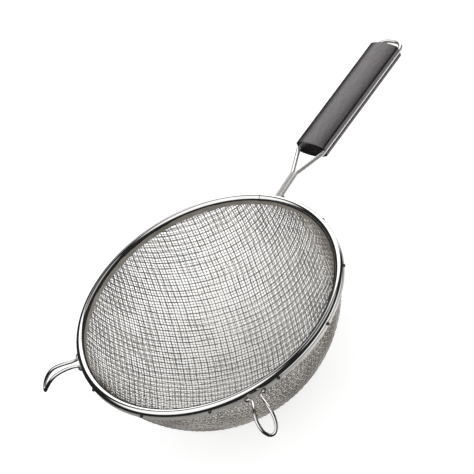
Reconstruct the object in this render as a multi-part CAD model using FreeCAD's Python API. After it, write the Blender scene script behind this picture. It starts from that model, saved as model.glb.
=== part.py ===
import FreeCAD, Part
import math
import os

# Double sieve strainer. Millimetres, +Z up out of the bowl, +X along the handle.
# The origin is the centre of the rim hoop, level with the middle of its tube.

# Rim
RIM_OUTER_RADIUS = 101.6
HOOP_TUBE_RADIUS = 2.75
HOOP_SHEET = 0.6
HOOP_MOUTH_START = 195.6
HOOP_MOUTH_END = 257.1
CORE_CLEARANCE = 0.1
SEAM_ANGLE = 8.0
SEAM_GAP = 0.5
SEAM_RECESS = 0.15
SEAM_CUT_LENGTH = 30.0
SEAM_CUT_HEIGHT = 40.0

# Bowl, built as concentric round layers about one centre above the rim
BOWL_CENTRE_Z = 13.2
COARSE_MIDDLE_RADIUS = 98.55
COARSE_THICKNESS = 0.5
FINE_MIDDLE_RADIUS = 97.4
FINE_THICKNESS = 0.4
INNER_BAND_OUTER_RADIUS = 96.9
BAND_SHEET = 0.5
LIP_CLEARANCE = 0.4
COARSE_TOP_Z = -2.4
FINE_TOP_Z = -1.5
INNER_BAND_TOP_Z = 1.2
INNER_BAND_LOW_Z = -3.0
OUTER_BAND_TOP_Z = -1.7
OUTER_BAND_LOW_Z = -5.0
OUTER_BAND_INSET = 0.15
OUTER_BAND_BEND = 1.0

# Handle wire and grip
HANDLE_WIRE_RADIUS = 1.55
NECK_HALF_SPACING = 1.6
NECK_END_X = 124.9
GRIP_START_X = 149.4
GRIP_LENGTH = 110.5
GRIP_WIDTH = 25.4
GRIP_EDGE_HEIGHT = 9.0
GRIP_CROWN = 2.6
GRIP_CORNER_RADIUS = 2.2
GRIP_END_CHAMFER = 0.6
GRIP_LIFT = 0.3
GROOVE_HALF_SPACING = 11.15
GROOVE_CLEARANCE = 0.1
GROOVE_OVERRUN = 1.0
FORK_BEND_RADIUS = 6.0
FORK_END_INSET = 1.2
NECK_BEND_RADIUS = 5.0
EYE_CORNER_RADIUS = 8.8
EYE_REACH = 9.0
HANDLE_DROOP = 3.6

# Rest hooks
HOOK_WIRE_RADIUS = 1.25
HOOK_ANGLES = {"hook_left": 133.9, "hook_right": -127.9}
HOOK_WIDTHS = {"hook_left": 8.2, "hook_right": 11.8}
HOOK_PINCHES = {"hook_left": 5.4, "hook_right": 6.8}
HOOK_REACHES = {"hook_left": 32.6, "hook_right": 28.1}
HOOK_DROPS = {"hook_left": 14.0, "hook_right": 12.2}
HOOK_SKEWS = {"hook_left": -3.4, "hook_right": -1.9}
HOOK_SEAT_Z = -3.4
HOOK_SEAT_GAP = 0.05
HOOK_FOOT_HALF_SPAN = 6.8
HOOK_FOOT_BEND = 1.2
# The pinch lies at this share of the reach and of the drop
HOOK_PINCH_SHARES = (0.12, -0.03)
# Past the pinch, one side of the loop in shares of the reach, half width and drop
HOOK_SIDE_SHARES = [
    (0.36, 0.76, -0.05),
    (0.60, 0.98, 0.05),
    (0.78, 1.04, 0.33),
    (0.92, 0.86, 0.70),
    (1.0, 0.36, 1.0),
]
# The most of a straight run that one bend may take up
RUN_SHARE = 0.45

# Small welds
TACK_SPACING = 30
TACK_START_ANGLE = 3.2
TACK_RADIUS = 1.3
TACK_OUT = 0.1
TACK_SEAT_Z = -2.0
HANDLE_WELD_RADIUS = 2.3
HANDLE_WELD_OUT = 0.6
HANDLE_WELD_DROP = 1.3
HOOK_WELD_RADIUS = 1.8
HOOK_WELD_OUT = 0.3

X_AXIS = FreeCAD.Vector(1, 0, 0)
Z_AXIS = FreeCAD.Vector(0, 0, 1)
ORIGIN = FreeCAD.Vector(0, 0, 0)
HOOP_CENTRE_RADIUS = RIM_OUTER_RADIUS - HOOP_TUBE_RADIUS
WALL_RADIUS = RIM_OUTER_RADIUS - OUTER_BAND_INSET
GRIP_END_X = GRIP_START_X + GRIP_LENGTH


def vec(x, y, z):
    return FreeCAD.Vector(x, y, z)


def in_tube(radius, degrees):
    """A point in the XZ plane, at a radius and angle about the hoop's tube centre."""
    angle = math.radians(degrees)
    return vec(HOOP_CENTRE_RADIUS + radius * math.cos(angle), 0, radius * math.sin(angle))


def revolve(edges):
    face = Part.Face(Part.Wire(edges))
    return face.revolve(ORIGIN, Z_AXIS, 360)


def seam_slit():
    """A thin upright box through the hoop and the bands, where their ends meet."""
    near_radius = RIM_OUTER_RADIUS - SEAM_CUT_LENGTH / 2
    corner = vec(near_radius, -SEAM_GAP / 2, -SEAM_CUT_HEIGHT / 2)
    slit = Part.makeBox(SEAM_CUT_LENGTH, SEAM_GAP, SEAM_CUT_HEIGHT, corner)
    slit.rotate(ORIGIN, Z_AXIS, SEAM_ANGLE)
    return slit


def layer_point(sphere_radius, z):
    height = z - BOWL_CENTRE_Z
    return vec(math.sqrt(sphere_radius ** 2 - height ** 2), 0, z)


def arc_on_layer(sphere_radius, start, end):
    middle = (start + end) * 0.5 - vec(0, 0, BOWL_CENTRE_Z)
    middle.normalize()
    on_arc = vec(0, 0, BOWL_CENTRE_Z) + middle * sphere_radius
    return Part.Arc(start, on_arc, end).toShape()


def make_bowl(middle_radius, thickness, top_z):
    """One cloth of the bowl, closed at the bottom and cut off level under the hoop."""
    outer_radius = middle_radius + thickness / 2
    inner_radius = middle_radius - thickness / 2
    outer_top = layer_point(outer_radius, top_z)
    inner_top = layer_point(inner_radius, top_z)
    outer_pole = vec(0, 0, BOWL_CENTRE_Z - outer_radius)
    inner_pole = vec(0, 0, BOWL_CENTRE_Z - inner_radius)
    return revolve([
        arc_on_layer(outer_radius, outer_top, outer_pole),
        Part.makeLine(outer_pole, inner_pole),
        arc_on_layer(inner_radius, inner_pole, inner_top),
        Part.makeLine(inner_top, outer_top),
    ])


def make_inner_band():
    """The rim's inner wall, a strip of sheet that lines the top of the fine cloth."""
    outer_radius = INNER_BAND_OUTER_RADIUS
    inner_radius = outer_radius - BAND_SHEET
    outer_top = layer_point(outer_radius, INNER_BAND_TOP_Z)
    outer_low = layer_point(outer_radius, INNER_BAND_LOW_Z)
    inner_top = layer_point(inner_radius, INNER_BAND_TOP_Z)
    inner_low = layer_point(inner_radius, INNER_BAND_LOW_Z)
    band = revolve([
        arc_on_layer(outer_radius, outer_top, outer_low),
        Part.makeLine(outer_low, inner_low),
        arc_on_layer(inner_radius, inner_low, inner_top),
        Part.makeLine(inner_top, outer_top),
    ])
    return band.cut(seam_slit())


def foot_arc(radius, turn):
    """The quarter bend at the foot of the outer wall, from the wall inwards or back."""
    centre = vec(WALL_RADIUS - OUTER_BAND_BEND, 0, OUTER_BAND_LOW_Z + OUTER_BAND_BEND)
    diagonal = radius * math.sqrt(0.5)
    at_wall = centre + vec(radius, 0, 0)
    at_foot = centre - vec(0, 0, radius)
    middle = centre + vec(diagonal, 0, -diagonal)
    ends = (at_wall, at_foot) if turn > 0 else (at_foot, at_wall)
    return Part.Arc(ends[0], middle, ends[1]).toShape()


def make_outer_band():
    """The rim's outer wall, turned in at its foot to hold the coarse cloth."""
    inner_wall = WALL_RADIUS - BAND_SHEET
    shelf_z = OUTER_BAND_LOW_Z + BAND_SHEET
    cloth_outer_radius = COARSE_MIDDLE_RADIUS + COARSE_THICKNESS / 2
    lip = layer_point(cloth_outer_radius, shelf_z).x + LIP_CLEARANCE
    outside = foot_arc(OUTER_BAND_BEND, 1)
    inside = foot_arc(OUTER_BAND_BEND - BAND_SHEET, -1)
    outer_top = vec(WALL_RADIUS, 0, OUTER_BAND_TOP_Z)
    inner_top = vec(inner_wall, 0, OUTER_BAND_TOP_Z)
    lip_low = vec(lip, 0, OUTER_BAND_LOW_Z)
    lip_top = vec(lip, 0, shelf_z)
    band = revolve([
        Part.makeLine(outer_top, outside.Vertexes[0].Point),
        outside,
        Part.makeLine(outside.Vertexes[-1].Point, lip_low),
        Part.makeLine(lip_low, lip_top),
        Part.makeLine(lip_top, inside.Vertexes[0].Point),
        inside,
        Part.makeLine(inside.Vertexes[-1].Point, inner_top),
        Part.makeLine(inner_top, outer_top),
    ])
    return band.cut(full_hoop()).cut(seam_slit())


def tube_arc(radius, start_degrees, end_degrees):
    middle_degrees = (start_degrees + end_degrees) / 2
    return Part.Arc(
        in_tube(radius, start_degrees),
        in_tube(radius, middle_degrees),
        in_tube(radius, end_degrees),
    ).toShape()


def rolled_ring(outer_radius, inner_radius):
    """A ring rolled from sheet, open where the cloths enter it from below."""
    start = HOOP_MOUTH_END - 360
    end = HOOP_MOUTH_START
    return revolve([
        tube_arc(outer_radius, start, end),
        Part.makeLine(in_tube(outer_radius, end), in_tube(inner_radius, end)),
        tube_arc(inner_radius, end, start),
        Part.makeLine(in_tube(inner_radius, start), in_tube(outer_radius, start)),
    ])


def make_hoop():
    ring = rolled_ring(HOOP_TUBE_RADIUS, HOOP_TUBE_RADIUS - HOOP_SHEET)
    return ring.cut(seam_slit())


def make_seam_weld():
    """The weld that fills the hoop's seam, a little below its surface."""
    ring = rolled_ring(HOOP_TUBE_RADIUS - SEAM_RECESS, HOOP_TUBE_RADIUS - HOOP_SHEET)
    return ring.common(seam_slit())


def make_core_wire():
    core_radius = HOOP_TUBE_RADIUS - HOOP_SHEET - CORE_CLEARANCE
    return Part.makeTorus(HOOP_CENTRE_RADIUS, core_radius)


def full_hoop():
    return Part.makeTorus(HOOP_CENTRE_RADIUS, HOOP_TUBE_RADIUS)


def sweep_wire(path, radius):
    """Sweep a round section along a path."""
    edge = path.Edges[0]
    start = edge.valueAt(edge.FirstParameter)
    direction = edge.tangentAt(edge.FirstParameter)
    section = Part.Wire(Part.makeCircle(radius, start, direction))
    return path.makePipeShell([section], True, False)


def rounded_path(points, radii):
    """Straight runs through the points, joined by arcs of the given radii."""
    edges = []
    previous = points[0]
    for index, radius in enumerate(radii, start=1):
        corner = points[index]
        back = (points[index - 1] - corner).normalize()
        ahead = (points[index + 1] - corner).normalize()
        half_angle = back.getAngle(ahead) / 2
        run = radius / math.tan(half_angle)
        arc_start = corner + back * run
        arc_end = corner + ahead * run
        to_centre = (back + ahead).normalize()
        centre = corner + to_centre * (radius / math.sin(half_angle))
        arc_middle = centre - to_centre * radius
        edges.append(Part.makeLine(previous, arc_start))
        edges.append(Part.Arc(arc_start, arc_middle, arc_end).toShape())
        previous = arc_end
    edges.append(Part.makeLine(previous, points[-1]))
    return Part.Wire(edges)


def largest_radii(points):
    """For each inner point, the bend radius that its two straight runs leave room for."""
    radii = []
    for before, corner, after in zip(points, points[1:], points[2:]):
        back = before - corner
        ahead = after - corner
        room = RUN_SHARE * min(back.Length, ahead.Length)
        radii.append(room * math.tan(back.getAngle(ahead) / 2))
    return radii


def droop(shape):
    """Lower everything past the neck by turning it about the neck's end."""
    shape.rotate(vec(NECK_END_X, 0, 0), vec(0, 1, 0), HANDLE_DROOP)
    return shape


def drooped(point):
    """Where a point past the neck lies after the handle's droop."""
    angle = math.radians(HANDLE_DROOP)
    reach = point.x - NECK_END_X
    x = NECK_END_X + reach * math.cos(angle)
    return vec(x, point.y, point.z - reach * math.sin(angle))


def handle_side_points(side):
    """Corner points of the handle wire on one side, from the rim to the eye."""
    fork_end_x = GRIP_START_X - FORK_END_INSET
    eye_x = GRIP_END_X + EYE_REACH
    return [
        vec(HOOP_CENTRE_RADIUS, side * NECK_HALF_SPACING, 0),
        vec(NECK_END_X, side * NECK_HALF_SPACING, 0),
        drooped(vec(fork_end_x, side * GROOVE_HALF_SPACING, 0)),
        drooped(vec(eye_x, side * GROOVE_HALF_SPACING, 0)),
    ]


def make_handle_wire():
    """One wire out along one side, round the hanging eye and back along the other."""
    points = handle_side_points(1) + handle_side_points(-1)[::-1]
    bends = [NECK_BEND_RADIUS, FORK_BEND_RADIUS, EYE_CORNER_RADIUS]
    path = rounded_path(points, bends + bends[::-1])
    return sweep_wire(path, HANDLE_WIRE_RADIUS).cut(full_hoop())


def edges_by_direction(bar, lengthwise):
    """The edges of a bar along X that run its length, or those round its ends."""
    return [
        edge for edge in bar.Edges
        if (abs(edge.tangentAt(edge.FirstParameter).x) > 0.5) == lengthwise
    ]


def make_grip():
    """A crowned bar with a groove along each edge, in which the wire lies."""
    half_width = GRIP_WIDTH / 2
    half_height = GRIP_EDGE_HEIGHT / 2
    x = GRIP_START_X
    top_left = vec(x, -half_width, GRIP_LIFT + half_height)
    top_right = vec(x, half_width, GRIP_LIFT + half_height)
    low_left = vec(x, -half_width, GRIP_LIFT - half_height)
    low_right = vec(x, half_width, GRIP_LIFT - half_height)
    crown = half_height + GRIP_CROWN
    section = Part.Wire([
        Part.Arc(top_left, vec(x, 0, GRIP_LIFT + crown), top_right).toShape(),
        Part.makeLine(top_right, low_right),
        Part.Arc(low_right, vec(x, 0, GRIP_LIFT - crown), low_left).toShape(),
        Part.makeLine(low_left, top_left),
    ])
    bar = Part.Face(section).extrude(vec(GRIP_LENGTH, 0, 0))
    bar = bar.makeFillet(GRIP_CORNER_RADIUS, edges_by_direction(bar, lengthwise=True))
    bar = bar.makeChamfer(GRIP_END_CHAMFER, edges_by_direction(bar, lengthwise=False))
    groove_radius = HANDLE_WIRE_RADIUS + GROOVE_CLEARANCE
    groove_length = GRIP_LENGTH + 2 * GROOVE_OVERRUN
    for side in (-1, 1):
        centre = vec(x - GROOVE_OVERRUN, side * GROOVE_HALF_SPACING, 0)
        groove = Part.makeCylinder(groove_radius, groove_length, centre, X_AXIS)
        mouth = Part.makeBox(groove_length, half_width, 2 * groove_radius)
        low_y = centre.y if side > 0 else centre.y - half_width
        mouth.translate(vec(centre.x, low_y, -groove_radius))
        bar = bar.cut(groove.fuse(mouth))
    return droop(bar)


def hook_path(name):
    """Half-teardrop points mirrored into one bent loop that drops at its tip."""
    seat = vec(WALL_RADIUS + HOOK_WIRE_RADIUS + HOOK_SEAT_GAP, 0, HOOK_SEAT_Z)
    reach = HOOK_REACHES[name]
    drop = HOOK_DROPS[name]
    half_width = HOOK_WIDTHS[name] / 2
    half_pinch = HOOK_PINCHES[name] / 2
    pinch_along, pinch_lowered = HOOK_PINCH_SHARES
    side = [
        (0.0, HOOK_FOOT_HALF_SPAN, 0.0),
        (0.0, half_pinch + HOOK_FOOT_BEND, 0.0),
        (pinch_along, half_pinch, pinch_lowered),
    ]
    for along, width_share, lowered in HOOK_SIDE_SHARES:
        side.append((along, half_width * width_share, lowered))

    def place(along, across, lowered):
        shear = HOOK_SKEWS[name] * along
        return vec(seat.x + along * reach, across + shear, seat.z - lowered * drop)

    right = [place(along, across, lowered) for along, across, lowered in side]
    left = [place(along, -across, lowered) for along, across, lowered in side]
    points = right + left[::-1]
    return rounded_path(points, largest_radii(points))


def make_hook(name):
    hook = sweep_wire(hook_path(name), HOOK_WIRE_RADIUS)
    hook.rotate(ORIGIN, Z_AXIS, HOOK_ANGLES[name])
    return hook


def clear_of_rim(shape):
    """What is left of a weld outside the hoop and the outer wall."""
    height = OUTER_BAND_TOP_Z - OUTER_BAND_LOW_Z
    inside_wall = Part.makeCylinder(WALL_RADIUS, height, vec(0, 0, OUTER_BAND_LOW_Z))
    return shape.cut(full_hoop()).cut(inside_wall)


def make_tacks():
    """Small welds where the wall meets the hoop, evenly spaced but at the handle."""
    tack = Part.makeSphere(TACK_RADIUS, vec(WALL_RADIUS + TACK_OUT, 0, TACK_SEAT_Z))
    tack.rotate(ORIGIN, Z_AXIS, TACK_START_ANGLE + TACK_SPACING)
    tack = clear_of_rim(tack)
    tacks = []
    for turn in range(0, 360 - TACK_SPACING, TACK_SPACING):
        copy = tack.copy()
        copy.rotate(ORIGIN, Z_AXIS, turn)
        tacks.append(copy)
    return Part.makeCompound(tacks)


def make_handle_weld(handle_wire):
    """The fillet of weld under the two wire ends, against the hoop."""
    lumps = []
    for side in (-1, 1):
        centre = vec(
            RIM_OUTER_RADIUS + HANDLE_WELD_OUT,
            side * NECK_HALF_SPACING,
            -HANDLE_WELD_DROP,
        )
        lumps.append(Part.makeSphere(HANDLE_WELD_RADIUS, centre))
    weld = lumps[0].fuse(lumps[1])
    return clear_of_rim(weld).cut(handle_wire)


def make_hook_welds(hooks):
    """One weld at the outer end of each hook foot, against the rim's outer wall."""
    seat = vec(WALL_RADIUS + HOOK_WELD_OUT, 0, HOOK_SEAT_Z)
    welds = []
    for name, hook in hooks.items():
        for side in (-1, 1):
            centre = vec(seat.x, side * HOOK_FOOT_HALF_SPAN, seat.z)
            weld = Part.makeSphere(HOOK_WELD_RADIUS, centre)
            weld.rotate(ORIGIN, Z_AXIS, HOOK_ANGLES[name])
            welds.append(clear_of_rim(weld).cut(hook))
    return Part.makeCompound(welds)


def build():
    """Every named piece of the strainer."""
    handle_wire = make_handle_wire()
    hooks = {name: make_hook(name) for name in HOOK_ANGLES}
    pieces = {
        "rim_hoop": make_hoop(),
        "rim_core_wire": make_core_wire(),
        "seam_weld": make_seam_weld(),
        "inner_band": make_inner_band(),
        "outer_band": make_outer_band(),
        "fine_mesh": make_bowl(FINE_MIDDLE_RADIUS, FINE_THICKNESS, FINE_TOP_Z),
        "coarse_mesh": make_bowl(COARSE_MIDDLE_RADIUS, COARSE_THICKNESS, COARSE_TOP_Z),
        "handle_wire": handle_wire,
        "grip": make_grip(),
        "rim_tacks": make_tacks(),
        "handle_weld": make_handle_weld(handle_wire),
        "hook_welds": make_hook_welds(hooks),
    }
    pieces.update(hooks)
    return pieces


os.makedirs("parts", exist_ok=True)
for node, shape in build().items():
    shape.exportStep("parts/" + node + ".step")
    print(node, shape.isValid(), len(shape.Solids), round(shape.Volume, 1))
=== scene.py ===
import math

import bpy
import numpy as np
from mathutils import Matrix, Vector


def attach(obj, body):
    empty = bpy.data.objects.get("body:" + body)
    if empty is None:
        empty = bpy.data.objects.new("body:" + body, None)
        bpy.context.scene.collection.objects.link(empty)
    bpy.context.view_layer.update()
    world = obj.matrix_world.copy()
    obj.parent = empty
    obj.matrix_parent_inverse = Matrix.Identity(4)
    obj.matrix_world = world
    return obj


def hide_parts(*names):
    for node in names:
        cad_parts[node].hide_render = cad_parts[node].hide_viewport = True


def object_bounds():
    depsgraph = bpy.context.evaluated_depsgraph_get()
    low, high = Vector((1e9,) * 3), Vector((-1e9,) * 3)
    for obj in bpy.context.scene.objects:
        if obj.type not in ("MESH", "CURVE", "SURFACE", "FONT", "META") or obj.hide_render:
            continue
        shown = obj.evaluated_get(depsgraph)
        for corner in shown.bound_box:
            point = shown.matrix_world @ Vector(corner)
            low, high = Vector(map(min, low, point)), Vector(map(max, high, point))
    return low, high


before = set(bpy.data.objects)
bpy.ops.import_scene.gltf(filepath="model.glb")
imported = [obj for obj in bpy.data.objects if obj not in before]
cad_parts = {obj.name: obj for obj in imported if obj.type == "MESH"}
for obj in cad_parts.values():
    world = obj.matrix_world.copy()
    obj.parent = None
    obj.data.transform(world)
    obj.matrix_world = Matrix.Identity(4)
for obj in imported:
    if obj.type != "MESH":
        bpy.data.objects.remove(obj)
cad_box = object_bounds()

# ---------------------------------------------------------------- sizes in metres
BOWL_CENTRE_Z = 0.0132
FINE_RADIUS = 0.0974
FINE_PITCH = 0.00222
FINE_WIRE_RADIUS = 0.0002
FINE_TOP_Z = -0.0016
COARSE_RADIUS = 0.09855
COARSE_PITCH = 0.0045
COARSE_WIRE_RADIUS = 0.00032
COARSE_TOP_Z = -0.0025
FLOOR_HALF_SIZE = 4.0
# Painted shade where the inner band meets the hoop: the band turns dark where its height plus
# a wandering amount passes the level below
CREVICE_SHADE_Z = 0.0012
CREVICE_SHADE_EDGE = 0.00027
CREVICE_SHADE_WANDER = 0.0018

# ---------------------------------------------------------------- how the cloths lie
CLOTH_TURN = 39.0  # degrees from the handle
CLOTH_UNEVENNESS = 0.30  # pull on the crossings, as a share of the pitch
CLOTH_SMOOTHING_ROUNDS = 2
CLOTH_SEED = 7
NET_SPARE_WIRES = 2  # beyond the ball's widest level
SHORTEST_WIRE = 3  # crossings
WIRE_SIDES = 6

# ---------------------------------------------------------------- finishes
# Noise scales are in features per metre
NOISE_ROUGHNESS = 0.55
BUMP_STRENGTH = 0.5
STEEL_PATCH_SCALE = 45.0
STEEL_WEAR_SCALE = 900.0
STEEL_DENT_SCALE = 160.0
STEEL_BROAD_DETAIL = 2.0
# Painted shade along the top of the inner band, under the hoop: scale, detail and colour
CREVICE_SHADE_SCALE = 70.0
CREVICE_SHADE_DETAIL = 4.0
CREVICE_SHADE_COLOUR = (0.02, 0.018, 0.015)
GRIP_PATCH_SCALE = 60.0
GRIP_PATCH_DETAIL = 3.0
GRIP_GRAIN_SCALE = 1300.0
GRIP_GRAIN_DEPTH = 0.00014
GRIP_SMUDGE_SCALE = 420.0
GRIP_SMUDGE_DETAIL = 4.0
GRIP_SMUDGE_STRETCH = (0.3, 1.0, 1.0)
GRIP_IOR = 1.6
GRIP_SPECULAR = 1.0
GRIP_SPECULAR_TINT = (1.0, 0.93, 0.97, 1)

# ---------------------------------------------------------------- light and floor
# Soft boxes round the object: azimuth, elevation, half angle in degrees, brightness
SOFT_BOXES = [
    (165.0, 55.0, 47.0, 1.45),
    (24.0, 24.0, 34.0, 2.1),
    (25.0, -12.0, 28.0, 1.2),
    (322.0, 52.0, 20.0, 0.6),
    (315.0, -50.0, 36.0, 1.2),
]
SOFT_BOX_FULL_SHARE = 0.75  # of the half angle, inside which the brightness is full
ROOM_TONE = 0.02
DIFFUSE_LIGHT = 1.05
FLOOR_COLOUR = (0.90, 0.90, 0.90, 1)
FLOOR_ROUGHNESS = 0.9
FLOOR_GLOW = 0.44
FLOOR_GLOW_COLOUR = (1.0, 1.0, 1.0, 1)

# ---------------------------------------------------------------- camera
CAMERA_AZIMUTH = 234.772
CAMERA_ELEVATION = 42.089
CAMERA_ROLL = -30.894
CAMERA_DISTANCE = 2.032
CAMERA_LENS = 218.35
CAMERA_SENSOR = 36.0
CAMERA_CLIP_START = 0.05
CAMERA_CLIP_END = 50.0
TARGET_RIGHT = 0.02051
TARGET_UP = 0.04623


# ---------------------------------------------------------------- node helpers
class Nodes:
    """Short calls for building one node tree."""

    def __init__(self, tree):
        self.tree = tree
        self.tree.nodes.clear()

    def add(self, kind, **settings):
        node = self.tree.nodes.new(kind)
        for key, value in settings.items():
            setattr(node, key, value)
        return node

    def link(self, source, target):
        self.tree.links.new(source, target)

    def feed(self, value, socket):
        """Link another node's output to a socket, or set it to a plain value."""
        if isinstance(value, bpy.types.NodeSocket):
            self.link(value, socket)
        else:
            socket.default_value = value

    def calculate(self, operation, first, second):
        """The result of one sum; each value is a number or another node's output."""
        node = self.add("ShaderNodeMath", operation=operation)
        self.feed(first, node.inputs[0])
        self.feed(second, node.inputs[1])
        return node.outputs[0]

    def noise(self, scale, detail=3.0, stretch=(1, 1, 1)):
        """Noise that keeps its place on the object."""
        place = self.add("ShaderNodeTexCoord")
        mapping = self.add("ShaderNodeMapping")
        mapping.inputs["Scale"].default_value = stretch
        noise = self.add("ShaderNodeTexNoise")
        noise.inputs["Scale"].default_value = scale
        noise.inputs["Detail"].default_value = detail
        noise.inputs["Roughness"].default_value = NOISE_ROUGHNESS
        self.link(place.outputs["Object"], mapping.inputs["Vector"])
        self.link(mapping.outputs["Vector"], noise.inputs["Vector"])
        return noise.outputs["Fac"]

    def spread(self, value, low, high, start=0.3, end=0.7):
        """Map a value between start and end to low..high; most noise is from 0.3 to 0.7."""
        node = self.add("ShaderNodeMapRange")
        node.inputs["From Min"].default_value = start
        node.inputs["From Max"].default_value = end
        node.inputs["To Min"].default_value = low
        node.inputs["To Max"].default_value = high
        self.link(value, node.inputs["Value"])
        return node.outputs["Result"]

    def blend(self, factor, first, second):
        """A colour between two; each is four numbers or another node's output."""
        node = self.add("ShaderNodeMix", data_type="RGBA")
        self.feed(first, node.inputs["A"])
        self.feed(second, node.inputs["B"])
        self.link(factor, node.inputs["Factor"])
        return node.outputs["Result"]

    def mottle(self, scale, detail, dark, light):
        """A colour that wanders between two in soft patches."""
        patches = self.spread(self.noise(scale, detail), 0.0, 1.0)
        return self.blend(patches, (*dark, 1), (*light, 1))

    def bump(self, height, distance):
        node = self.add("ShaderNodeBump")
        node.inputs["Distance"].default_value = distance
        node.inputs["Strength"].default_value = BUMP_STRENGTH
        self.link(height, node.inputs["Height"])
        return node.outputs["Normal"]


# ---------------------------------------------------------------- materials
def surface(name, metallic):
    """A material with one Principled shader, ready for its links."""
    material = bpy.data.materials.new(name)
    material.use_nodes = True
    nodes = Nodes(material.node_tree)
    shader = nodes.add("ShaderNodeBsdfPrincipled")
    shader.inputs["Metallic"].default_value = metallic
    output = nodes.add("ShaderNodeOutputMaterial")
    nodes.link(shader.outputs[0], output.inputs["Surface"])
    return material, nodes, shader


def steel_tone(nodes, dark, light):
    """Broad tone changes over a metal."""
    return nodes.mottle(STEEL_PATCH_SCALE, STEEL_BROAD_DETAIL, dark, light)


def wear(nodes, shader, rough_low, rough_high, dent_depth):
    """Fine wear in a metal's roughness, and slight unevenness."""
    rough = nodes.spread(nodes.noise(STEEL_WEAR_SCALE), rough_low, rough_high)
    nodes.link(rough, shader.inputs["Roughness"])
    dents = nodes.noise(STEEL_DENT_SCALE, STEEL_BROAD_DETAIL)
    nodes.link(nodes.bump(dents, dent_depth), shader.inputs["Normal"])


def steel(name, dark, light, rough_low, rough_high, dent_depth=0.00003, metallic=1.0):
    """Metal with broad tone changes and fine wear."""
    material, nodes, shader = surface(name, metallic)
    nodes.link(steel_tone(nodes, dark, light), shader.inputs["Base Color"])
    wear(nodes, shader, rough_low, rough_high, dent_depth)
    return material


def chrome_material():
    return steel("bright_rim", (0.78, 0.775, 0.765), (0.90, 0.895, 0.885), 0.04, 0.10)


def hook_material():
    return steel("hook_steel", (0.76, 0.755, 0.745), (0.88, 0.875, 0.865), 0.05, 0.12)


def handle_material():
    return steel("handle_steel", (0.82, 0.805, 0.78), (0.94, 0.925, 0.90), 0.12, 0.22,
                 metallic=0.75)


def inner_band_material():
    """Dull sheet, with shade painted dark along its top where it meets the hoop."""
    material, nodes, shader = surface("inner_band_steel", metallic=0.55)
    tone = steel_tone(nodes, (0.38, 0.355, 0.31), (0.58, 0.55, 0.49))
    # Painted shade: the band darkens near its top, where it meets the hoop
    place = nodes.add("ShaderNodeTexCoord")
    split = nodes.add("ShaderNodeSeparateXYZ")
    nodes.link(place.outputs["Object"], split.inputs[0])
    wander = nodes.calculate("MULTIPLY", nodes.noise(CREVICE_SHADE_SCALE, CREVICE_SHADE_DETAIL), CREVICE_SHADE_WANDER)
    height = nodes.calculate("ADD", split.outputs["Z"], wander)
    painted_shade = nodes.spread(height, 0.0, 1.0, CREVICE_SHADE_Z, CREVICE_SHADE_Z + CREVICE_SHADE_EDGE)
    colour = nodes.blend(painted_shade, tone, (*CREVICE_SHADE_COLOUR, 1))
    nodes.link(colour, shader.inputs["Base Color"])
    wear(nodes, shader, 0.34, 0.50, 0.00006)
    return material


def outer_band_material():
    return steel("outer_band_steel", (0.62, 0.60, 0.565), (0.78, 0.76, 0.72), 0.30, 0.46,
                 0.00005, metallic=0.6)


def fine_wire_material():
    return steel("fine_wire", (0.30, 0.275, 0.245), (0.53, 0.495, 0.455), 0.12, 0.24,
                 metallic=0.9)


def coarse_wire_material():
    return steel("coarse_wire", (0.58, 0.555, 0.52), (0.86, 0.83, 0.79), 0.14, 0.26,
                 metallic=0.6)


def tack_material():
    return steel("tack_steel", (0.03, 0.028, 0.025), (0.10, 0.095, 0.085), 0.3, 0.5, 0.00012,
                 metallic=0.6)


def weld_material():
    return steel("weld_steel", (0.16, 0.15, 0.135), (0.34, 0.32, 0.295), 0.28, 0.5, 0.00012)


def core_material():
    return steel("core_steel", (0.30, 0.29, 0.28), (0.45, 0.44, 0.43), 0.4, 0.6)


def grip_material():
    """Moulded black plastic: satin, with a fine grain and faint wear from the hand."""
    material, nodes, shader = surface("grip_black", metallic=0.0)
    dark = (0.007, 0.006, 0.007)
    light = (0.020, 0.018, 0.020)
    colour = nodes.mottle(GRIP_PATCH_SCALE, GRIP_PATCH_DETAIL, dark, light)
    nodes.link(colour, shader.inputs["Base Color"])
    grain = nodes.noise(GRIP_GRAIN_SCALE)
    smudge = nodes.noise(GRIP_SMUDGE_SCALE, GRIP_SMUDGE_DETAIL, GRIP_SMUDGE_STRETCH)
    grain_rough = nodes.spread(grain, 0.15, 0.22)
    smudge_rough = nodes.spread(smudge, -0.04, 0.12)
    rough = nodes.calculate("ADD", grain_rough, smudge_rough)
    nodes.link(rough, shader.inputs["Roughness"])
    nodes.link(nodes.bump(grain, GRIP_GRAIN_DEPTH), shader.inputs["Normal"])
    shader.inputs["IOR"].default_value = GRIP_IOR
    shader.inputs["Specular IOR Level"].default_value = GRIP_SPECULAR
    shader.inputs["Specular Tint"].default_value = GRIP_SPECULAR_TINT
    return material


# ---------------------------------------------------------------- woven bowl
def net_quarter(step, count):
    """One quarter of a net with equal sides laid on a ball from its pole.

    Each new crossing is the third one reflected in the plane of its two neighbours,
    so every wire keeps its pitch and only the angle between wires changes.
    """
    net = np.zeros((count + 1, count + 1, 3))
    for k in range(count + 1):
        net[k, 0] = (math.sin(k * step), 0.0, -math.cos(k * step))
        net[0, k] = (0.0, math.sin(k * step), -math.cos(k * step))
    for i in range(1, count + 1):
        for j in range(1, count + 1):
            normal = np.cross(net[i, j - 1], net[i - 1, j])
            normal /= np.linalg.norm(normal)
            before = net[i - 1, j - 1]
            net[i, j] = before - 2.0 * before.dot(normal) * normal
    return net


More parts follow.
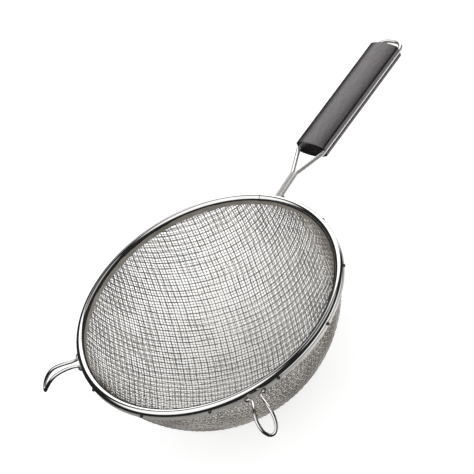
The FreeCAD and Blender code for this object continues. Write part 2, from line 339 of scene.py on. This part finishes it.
def whole_net(pitch, radius):
    """Unit directions of every crossing, over all four quarters."""
    step = pitch / radius
    count = int(math.ceil(math.pi / 2 / step)) + NET_SPARE_WIRES
    quarter = net_quarter(step, count)
    net = np.zeros((2 * count + 1, 2 * count + 1, 3))
    for sign_x in (1, -1):
        for sign_y in (1, -1):
            rows = count + sign_x * np.arange(count + 1)
            columns = count + sign_y * np.arange(count + 1)
            net[np.ix_(rows, columns)] = quarter * (sign_x, sign_y, 1)
    turn = math.radians(CLOTH_TURN)
    spin = np.array([
        [math.cos(turn), -math.sin(turn), 0],
        [math.sin(turn), math.cos(turn), 0],
        [0, 0, 1],
    ])
    return net @ spin.T


def uneven(net, pitch, radius):
    """The net with its crossings pulled a little out of line, as in a pressed cloth."""
    pull = np.random.default_rng(CLOTH_SEED).normal(size=net.shape)
    for axis in (0, 1) * CLOTH_SMOOTHING_ROUNDS:
        pull = (np.roll(pull, 1, axis) + 2.0 * pull + np.roll(pull, -1, axis)) / 4.0
    net = net + CLOTH_UNEVENNESS * pitch / radius * pull
    return net / np.linalg.norm(net, axis=2)[:, :, None]


def level_cut(below, above, top_z):
    """Where the straight line between two points of a wire passes the cloth's top."""
    share = (top_z - below[2]) / (above[2] - below[2])
    return below + share * (above - below)


def trimmed(points, top_z):
    """The part of one wire that lies below the cloth's top, cut level with it."""
    inside = np.flatnonzero(points[:, 2] < top_z)
    if len(inside) < SHORTEST_WIRE:
        return None
    first, last = inside[0], inside[-1]
    kept = list(points[first:last + 1])
    if first > 0:
        kept.insert(0, level_cut(points[first], points[first - 1], top_z))
    if last + 1 < len(points):
        kept.append(level_cut(points[last], points[last + 1], top_z))
    return np.array(kept)


def tube_rings(points, centre, radius):
    """Rings of vertices round a wire that lies on the bowl."""
    ahead = np.gradient(points, axis=0)
    ahead /= np.linalg.norm(ahead, axis=1)[:, None]
    outward = points - centre
    outward -= (outward * ahead).sum(axis=1)[:, None] * ahead
    outward /= np.linalg.norm(outward, axis=1)[:, None]
    across = np.cross(ahead, outward)
    angles = np.arange(WIRE_SIDES) * 2 * math.pi / WIRE_SIDES
    ring = (
        np.cos(angles)[None, :, None] * outward[:, None, :]
        + np.sin(angles)[None, :, None] * across[:, None, :]
    )
    return points[:, None, :] + radius * ring


def weave_piece(name, wires, centre, radius, material):
    """One mesh with a tube, closed at both ends, for every wire of one direction."""
    vertices = []
    faces = []
    sides = np.arange(WIRE_SIDES)
    beside = (sides + 1) % WIRE_SIDES
    start = 0
    for points in wires:
        rings = tube_rings(points, centre, radius)
        count = len(points)
        vertices.append(rings.reshape(-1, 3))
        low = start + np.arange(count - 1)[:, None] * WIRE_SIDES
        quads = np.stack(
            [low + sides, low + beside, low + WIRE_SIDES + beside, low + WIRE_SIDES + sides],
            axis=-1,
        )
        faces.extend(quads.reshape(-1, 4).tolist())
        faces.append((start + sides[::-1]).tolist())
        faces.append((start + (count - 1) * WIRE_SIDES + sides).tolist())
        start += count * WIRE_SIDES
    mesh = bpy.data.meshes.new(name)
    mesh.from_pydata(np.concatenate(vertices).tolist(), [], faces)
    mesh.polygons.foreach_set("use_smooth", [True] * len(mesh.polygons))
    mesh.materials.append(material)
    piece = bpy.data.objects.new(name, mesh)
    bpy.context.scene.collection.objects.link(piece)
    return piece


def weave(label, node, pitch, radius, wire_radius, top_z, material):
    """Both directions of wire of one woven bowl, each passing over and under the other."""
    net = uneven(whole_net(pitch, radius), pitch, radius)
    index = np.arange(net.shape[0])
    over = 1.0 - 2.0 * ((index[:, None] + index[None, :]) % 2)
    centre = np.array([0.0, 0.0, BOWL_CENTRE_Z])
    warp_points = centre + net * (radius + wire_radius * over)[:, :, None]
    weft_points = centre + net * (radius - wire_radius * over)[:, :, None]
    lines_by_way = {
        "warp": [warp_points[row] for row in index],
        "weft": [weft_points[:, column] for column in index],
    }
    for way, lines in lines_by_way.items():
        cut_lines = [trimmed(line, top_z) for line in lines]
        wires = [wire for wire in cut_lines if wire is not None]
        piece = weave_piece(label + "_" + way, wires, centre, wire_radius, material)
        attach(piece, "root")
        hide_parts(node)


def make_bowl():
    weave("fine_weave", "fine_mesh", FINE_PITCH, FINE_RADIUS,
          FINE_WIRE_RADIUS, FINE_TOP_Z, fine_wire_material())
    weave("coarse_weave", "coarse_mesh", COARSE_PITCH, COARSE_RADIUS,
          COARSE_WIRE_RADIUS, COARSE_TOP_Z, coarse_wire_material())


# ---------------------------------------------------------------- finishes of the CAD nodes
def dress(material, *node_names):
    """Give CAD nodes a better material."""
    for node_name in node_names:
        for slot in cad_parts[node_name].material_slots:
            slot.link = "OBJECT"
            slot.material = material


def dress_nodes():
    dress(chrome_material(), "rim_hoop")
    dress(tack_material(), "rim_tacks", "seam_weld")
    dress(weld_material(), "handle_weld", "hook_welds")
    dress(inner_band_material(), "inner_band")
    dress(outer_band_material(), "outer_band")
    dress(core_material(), "rim_core_wire")
    dress(handle_material(), "handle_wire")
    dress(grip_material(), "grip")
    dress(hook_material(), "hook_left", "hook_right")


# ---------------------------------------------------------------- stage
def heading_to(azimuth, elevation):
    """The unit direction at two angles in degrees."""
    a = math.radians(azimuth)
    e = math.radians(elevation)
    return Vector((math.cos(e) * math.cos(a), math.cos(e) * math.sin(a), math.sin(e)))


def soft_box(nodes, heading, azimuth, elevation, half_angle, brightness):
    """A round patch of light that fades to nothing at its edge."""
    dot = nodes.add("ShaderNodeVectorMath", operation="DOT_PRODUCT")
    nodes.link(heading, dot.inputs[0])
    dot.inputs[1].default_value = heading_to(azimuth, elevation)
    edge = math.radians(half_angle)
    fade = nodes.add("ShaderNodeMapRange", interpolation_type="SMOOTHSTEP")
    fade.inputs["From Min"].default_value = math.cos(edge)
    fade.inputs["From Max"].default_value = math.cos(edge * SOFT_BOX_FULL_SHARE)
    fade.inputs["To Max"].default_value = brightness
    nodes.link(dot.outputs["Value"], fade.inputs["Value"])
    return fade.outputs["Result"]


def make_world():
    """A studio of soft boxes for reflections, and even light for everything else."""
    world = bpy.data.worlds.new("studio")
    world.use_nodes = True
    bpy.context.scene.world = world
    nodes = Nodes(world.node_tree)
    heading = nodes.add("ShaderNodeTexCoord").outputs["Generated"]
    total = 0.0
    for box in SOFT_BOXES:
        total = nodes.calculate("MAXIMUM", total, soft_box(nodes, heading, *box))
    total = nodes.calculate("ADD", total, ROOM_TONE)
    ray = nodes.add("ShaderNodeLightPath")
    studio = nodes.add("ShaderNodeBackground")
    nodes.link(total, studio.inputs["Strength"])
    even = nodes.add("ShaderNodeBackground")
    even.inputs["Strength"].default_value = DIFFUSE_LIGHT
    mix = nodes.add("ShaderNodeMixShader")
    nodes.link(ray.outputs["Is Glossy Ray"], mix.inputs["Fac"])
    nodes.link(even.outputs[0], mix.inputs[1])
    nodes.link(studio.outputs[0], mix.inputs[2])
    output = nodes.add("ShaderNodeOutputWorld")
    nodes.link(mix.outputs[0], output.inputs["Surface"])


def floor_material():
    material, _, shader = surface("floor_white", metallic=0.0)
    shader.inputs["Base Color"].default_value = FLOOR_COLOUR
    shader.inputs["Emission Color"].default_value = FLOOR_GLOW_COLOUR
    shader.inputs["Emission Strength"].default_value = FLOOR_GLOW
    shader.inputs["Roughness"].default_value = FLOOR_ROUGHNESS
    shader.inputs["Specular IOR Level"].default_value = 0.0
    return material


def make_floor():
    """A pale table under the lowest point, left out of the reflections in the steel."""
    z = cad_box[0][2]
    s = FLOOR_HALF_SIZE
    mesh = bpy.data.meshes.new("floor")
    mesh.from_pydata([(-s, -s, z), (s, -s, z), (s, s, z), (-s, s, z)], [], [(0, 1, 2, 3)])
    mesh.materials.append(floor_material())
    floor = bpy.data.objects.new("floor", mesh)
    floor.visible_glossy = False
    bpy.context.scene.collection.objects.link(floor)


def make_camera():
    """A long lens that looks past the origin at a target beside and above it."""
    a = math.radians(CAMERA_AZIMUTH)
    r = math.radians(CAMERA_ROLL)
    back = heading_to(CAMERA_AZIMUTH, CAMERA_ELEVATION)
    level = Vector((-math.sin(a), math.cos(a), 0.0))
    upright = back.cross(level)
    right = math.cos(r) * level + math.sin(r) * upright
    up = -math.sin(r) * level + math.cos(r) * upright
    place = back * CAMERA_DISTANCE
    target = right * TARGET_RIGHT + up * TARGET_UP
    back = (place - target).normalized()
    right = up.cross(back).normalized()
    up = back.cross(right)
    camera = bpy.data.cameras.new("camera")
    camera.lens = CAMERA_LENS
    camera.sensor_width = CAMERA_SENSOR
    camera.clip_start = CAMERA_CLIP_START
    camera.clip_end = CAMERA_CLIP_END
    piece = bpy.data.objects.new("camera", camera)
    piece.matrix_world = Matrix((
        (right.x, up.x, back.x, place.x),
        (right.y, up.y, back.y, place.y),
        (right.z, up.z, back.z, place.z),
        (0, 0, 0, 1),
    ))
    bpy.context.scene.collection.objects.link(piece)
    bpy.context.scene.camera = piece


def make_view():
    view = bpy.context.scene.view_settings
    view.view_transform = "Standard"
    view.look = "None"


make_camera()
make_view()
make_world()
make_floor()
dress_nodes()
make_bowl()
